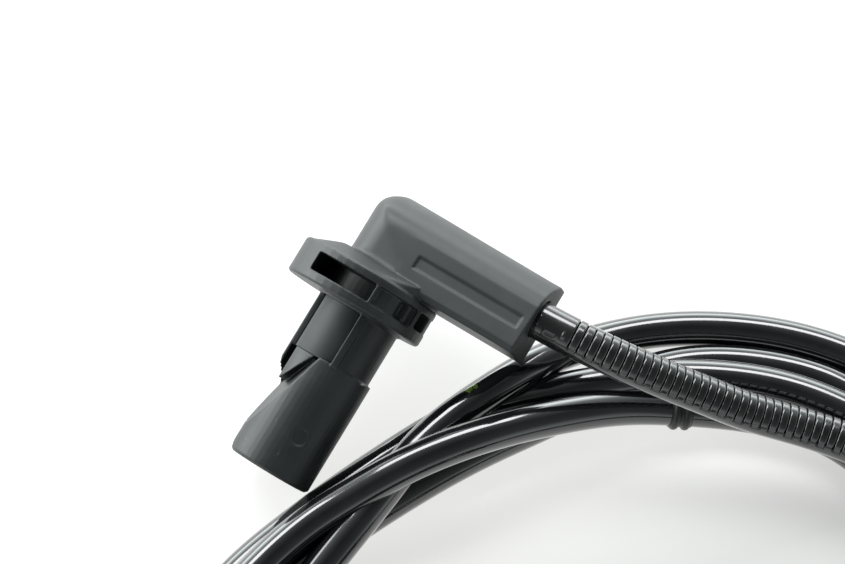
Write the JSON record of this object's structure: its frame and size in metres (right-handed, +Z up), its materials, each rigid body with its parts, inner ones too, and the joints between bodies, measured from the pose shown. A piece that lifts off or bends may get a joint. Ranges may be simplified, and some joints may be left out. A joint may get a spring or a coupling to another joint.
{
  "type": "abs wheel speed sensor",
  "caption": "Right-angled wheel speed sensor head with a round flange and sensing tip, a slotted bend relief sleeve, and a coiled lead ending in a two-way plug.",
  "frame": {"origin": "middle of the head's footprint, on the table that the head and its coiled lead lie on", "axes": "+Z up from the table, +X to the right along the head's longest extent, +Y away from the viewer"},
  "size_m": [0.1294, 0.1161, 0.0259],
  "materials": {
    "housing_plastic": "dark grey-black glass-filled moulding, fine grain",
    "carrier_plastic": "smooth black moulding",
    "chip_moulding": "epoxy moulding",
    "magnet_metal": "sintered, plain",
    "capacitor_body": "dipped coating",
    "tinned_metal": "tinned",
    "brown_core": "extruded insulation",
    "black_core": "extruded insulation",
    "sheath": "extruded sheath",
    "sleeve_rubber": "satin moulded rubber",
    "glossy_tube": "glossy extruded tube",
    "plug_plastic": "satin moulding",
    "seal_silicone": "silicone",
    "lock_plastic": "natural moulding"
  },
  "bodies": {
    "root": {"sensor_housing": "housing_plastic", "chip_carrier": "carrier_plastic", "hall_chip": "chip_moulding", "bias_magnet": "magnet_metal", "filter_capacitor": "capacitor_body", "chip_lead_1": "tinned_metal", "chip_lead_2": "tinned_metal", "crimp_sleeve_1": "tinned_metal", "crimp_sleeve_2": "tinned_metal", "head_core_1": "brown_core", "head_core_2": "black_core", "inner_cable": "sheath", "bend_relief_sleeve": "sleeve_rubber", "outer_tube_run": "glossy_tube", "outer_tube_coil": "glossy_tube", "outer_tube_tail": "glossy_tube", "plug_housing": "plug_plastic", "plug_terminal_lock": "lock_plastic", "plug_face_seal": "seal_silicone", "plug_terminal_1": "tinned_metal", "plug_terminal_2": "tinned_metal", "plug_wire_seal_1": "seal_silicone", "plug_wire_seal_2": "seal_silicone", "plug_core_1": "brown_core", "plug_core_2": "black_core", "plug_boot": "sleeve_rubber"}
  },
  "joints": []
}
